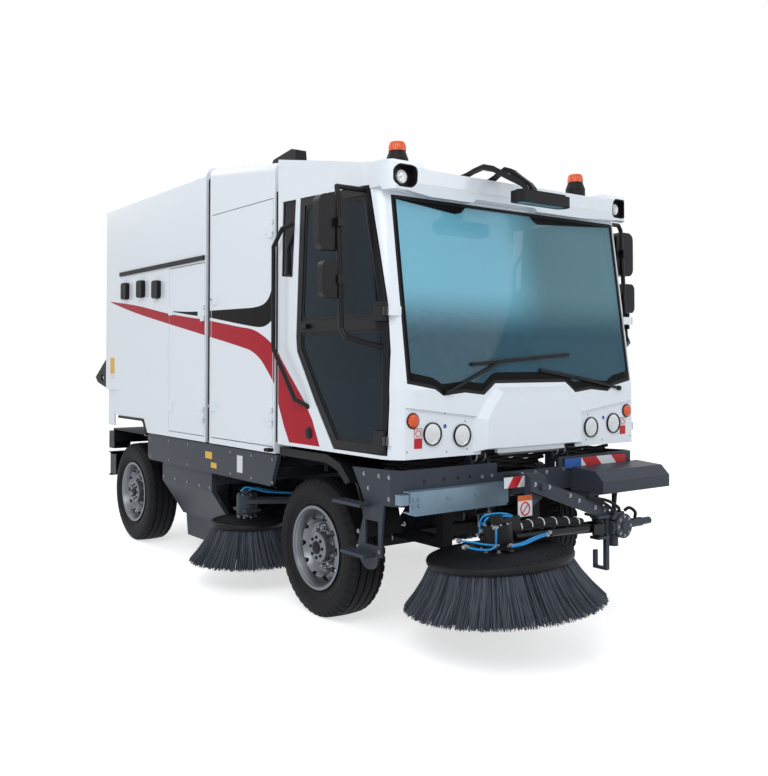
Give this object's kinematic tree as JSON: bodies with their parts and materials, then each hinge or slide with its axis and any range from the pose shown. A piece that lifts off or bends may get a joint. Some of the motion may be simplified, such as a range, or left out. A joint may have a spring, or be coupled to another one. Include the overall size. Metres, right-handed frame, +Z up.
{
  "type": "street sweeper truck",
  "caption": "Compact street sweeper truck with tilting cab, tipping hopper, side brushes, cylindrical brush and a front brush on a folding arm.",
  "frame": {"origin": "middle of the whole box in length and width, on the ground", "axes": "+X forward, +Y to the vehicle's left, +Z up"},
  "size_m": [5.469, 2.79, 3.08],
  "materials": {
    "white_paint": "gloss",
    "grey_paint": "satin",
    "black_paint": "satin",
    "galvanised": "dull",
    "glass": "clear",
    "door_glass": "tinted",
    "black_plastic": "matte",
    "amber": "clear",
    "lamp_glass": "clear",
    "cast": "rough",
    "tyre": "matte",
    "rim": "polished",
    "seat": "woven",
    "bristle": "rough",
    "board": "reflective"
  },
  "bodies": {
    "chassis": {"rails": "grey_paint", "frame_members": "grey_paint", "axles": "cast", "front_frame": "grey_paint", "rear_bumper": "black_paint", "front_beam": "galvanised", "engine_block": "cast", "mid_shell": "white_paint", "body_trim": "black_plastic", "sills": "grey_paint", "sweeper_housing": "grey_paint", "mudguards": "black_plastic", "marker_boards": "board", "front_arm_mount": "grey_paint"},
    "cab": {"cab_shell": "white_paint", "cab_floor": "black_plastic", "cab_front": "white_paint", "cab_glass": "glass", "cab_trim": "black_plastic", "dash": "black_plastic", "seats": "seat", "signal_lamps": "amber", "head_lamps": "lamp_glass"},
    "cab_door_right": {"cab_door_right": "black_paint", "door_glass_right": "door_glass"},
    "cab_door_left": {"cab_door_left": "black_paint", "door_glass_left": "door_glass"},
    "hopper": {"hopper_shell": "white_paint", "hopper_trim": "black_plastic"},
    "tailgate": {"tailgate": "white_paint"},
    "hopper_door_right": {"hopper_door_right": "white_paint"},
    "hopper_door_left": {"hopper_door_left": "white_paint"},
    "mid_door_right": {"mid_door_right": "white_paint"},
    "mid_door_left": {"mid_door_left": "white_paint"},
    "knuckle_right": {"knuckle_right": "cast"},
    "knuckle_left": {"knuckle_left": "cast"},
    "main_brush": {"main_brush": "bristle"},
    "front_arm_upper": {"front_arm_upper": "grey_paint"},
    "front_arm_yoke": {"front_arm_yoke": "grey_paint"},
    "front_arm_lower": {"front_arm_lower": "grey_paint"},
    "front_brush": {"front_brush": "bristle"},
    "side_arm_base_right": {"side_arm_base_right": "grey_paint"},
    "side_arm_right": {"side_arm_right": "grey_paint"},
    "side_brush_right": {"side_brush_right": "bristle"},
    "wheel_front_right": {"tyre_front_right": "tyre", "rim_front_right": "rim"},
    "wheel_rear_right": {"tyre_rear_right": "tyre", "rim_rear_right": "rim"},
    "side_arm_base_left": {"side_arm_base_left": "grey_paint"},
    "side_arm_left": {"side_arm_left": "grey_paint"},
    "side_brush_left": {"side_brush_left": "bristle"},
    "wheel_front_left": {"tyre_front_left": "tyre", "rim_front_left": "rim"},
    "wheel_rear_left": {"tyre_rear_left": "tyre", "rim_rear_left": "rim"}
  },
  "joints": [
    {"name": "cab_tilt", "type": "hinge", "parent": "chassis", "child": "cab", "pos_m": [1.7895, 0, 1.043], "axis": [0, 1, 0], "range_deg": [0, 32]},
    {"name": "cab_door_right_hinge", "type": "hinge", "parent": "cab", "child": "cab_door_right", "pos_m": [1.8055, -1.08, 1.8], "axis": [0, 0, 1], "range_deg": [0, 68]},
    {"name": "cab_door_left_hinge", "type": "hinge", "parent": "cab", "child": "cab_door_left", "pos_m": [1.8055, 1.08, 1.8], "axis": [0, 0, -1], "range_deg": [0, 68]},
    {"name": "mid_door_right_hinge", "type": "hinge", "parent": "chassis", "child": "mid_door_right", "pos_m": [0.5955, -1.087, 1.868], "axis": [0, 0, 1], "range_deg": [0, 90]},
    {"name": "mid_door_left_hinge", "type": "hinge", "parent": "chassis", "child": "mid_door_left", "pos_m": [0.5955, 1.087, 1.868], "axis": [0, 0, -1], "range_deg": [0, 90]},
    {"name": "hopper_door_right_hinge", "type": "hinge", "parent": "hopper", "child": "hopper_door_right", "pos_m": [-0.4025, -1.087, 1.7], "axis": [0, 0, 1], "range_deg": [0, 90]},
    {"name": "hopper_door_left_hinge", "type": "hinge", "parent": "hopper", "child": "hopper_door_left", "pos_m": [-0.4025, 1.087, 1.7], "axis": [0, 0, -1], "range_deg": [0, 90]},
    {"name": "hopper_tip", "type": "hinge", "parent": "chassis", "child": "hopper", "pos_m": [-2.3705, 0, 1.01], "axis": [0, -1, 0], "range_deg": [0, 50]},
    {"name": "tailgate_lift", "type": "hinge", "parent": "hopper", "child": "tailgate", "pos_m": [-2.4565, 0, 2.996], "axis": [0, 1, 0], "range_deg": [0, 75]},
    {"name": "steer_right", "type": "hinge", "parent": "chassis", "child": "knuckle_right", "pos_m": [1.0095, -0.7, 0.433], "axis": [0, 0, 1], "range_deg": [-28, 28]},
    {"name": "steer_left", "type": "hinge", "parent": "chassis", "child": "knuckle_left", "pos_m": [1.0095, 0.7, 0.433], "axis": [0, 0, 1], "range_deg": [-28, 28]},
    {"name": "wheel_front_right_spin", "type": "hinge", "parent": "knuckle_right", "child": "wheel_front_right", "pos_m": [1.0095, -0.885, 0.433], "axis": [0, 1, 0], "continuous": true},
    {"name": "wheel_rear_right_spin", "type": "hinge", "parent": "chassis", "child": "wheel_rear_right", "pos_m": [-1.9235, -0.885, 0.433], "axis": [0, 1, 0], "continuous": true},
    {"name": "side_arm_right_swing", "type": "hinge", "parent": "chassis", "child": "side_arm_base_right", "pos_m": [0.4495, -0.6, 0.6], "axis": [0, 0, 1], "range_deg": [-6, 18]},
    {"name": "side_arm_right_lift", "type": "hinge", "parent": "side_arm_base_right", "child": "side_arm_right", "pos_m": [0.3645, -0.6, 0.615], "axis": [0, -1, 0], "range_deg": [0, 11]},
    {"name": "side_brush_right_spin", "type": "hinge", "parent": "side_arm_right", "child": "side_brush_right", "pos_m": [-0.0025, -0.925, 0.52], "axis": [0, 0, 1], "continuous": true},
    {"name": "wheel_front_left_spin", "type": "hinge", "parent": "knuckle_left", "child": "wheel_front_left", "pos_m": [1.0095, 0.885, 0.433], "axis": [0, 1, 0], "continuous": true},
    {"name": "wheel_rear_left_spin", "type": "hinge", "parent": "chassis", "child": "wheel_rear_left", "pos_m": [-1.9235, 0.885, 0.433], "axis": [0, 1, 0], "continuous": true},
    {"name": "side_arm_left_swing", "type": "hinge", "parent": "chassis", "child": "side_arm_base_left", "pos_m": [0.4495, 0.6, 0.6], "axis": [0, 0, -1], "range_deg": [-6, 18]},
    {"name": "side_arm_left_lift", "type": "hinge", "parent": "side_arm_base_left", "child": "side_arm_left", "pos_m": [0.3645, 0.6, 0.615], "axis": [0, -1, 0], "range_deg": [0, 11]},
    {"name": "side_brush_left_spin", "type": "hinge", "parent": "side_arm_left", "child": "side_brush_left", "pos_m": [-0.0025, 0.925, 0.52], "axis": [0, 0, 1], "continuous": true},
    {"name": "main_brush_spin", "type": "hinge", "parent": "chassis", "child": "main_brush", "pos_m": [-0.8405, 0, 0.33], "axis": [0, 1, 0], "continuous": true},
    {"name": "front_arm_lift", "type": "hinge", "parent": "chassis", "child": "front_arm_upper", "pos_m": [2.1595, -0.21, 0.885], "axis": [1, 0, 0], "range_deg": [-3, 10]},
    {"name": "front_arm_swing", "type": "hinge", "parent": "front_arm_upper", "child": "front_arm_yoke", "pos_m": [2.1595, 0.3, 0.6], "axis": [0, 0, 1], "range_deg": [0, 100]},
    {"name": "front_brush_lift", "type": "hinge", "parent": "front_arm_yoke", "child": "front_arm_lower", "pos_m": [2.1595, 0.225, 0.6], "axis": [1, 0, 0], "range_deg": [-5, 11]},
    {"name": "front_brush_spin", "type": "hinge", "parent": "front_arm_lower", "child": "front_brush", "pos_m": [2.14314, -0.525, 0.503], "axis": [-0.0665, -0.0665, 0.9956], "continuous": true}
  ],
  "couplings": [
    {"joint": "steer_left", "follows": "steer_right", "ratio": 1}
  ]
}
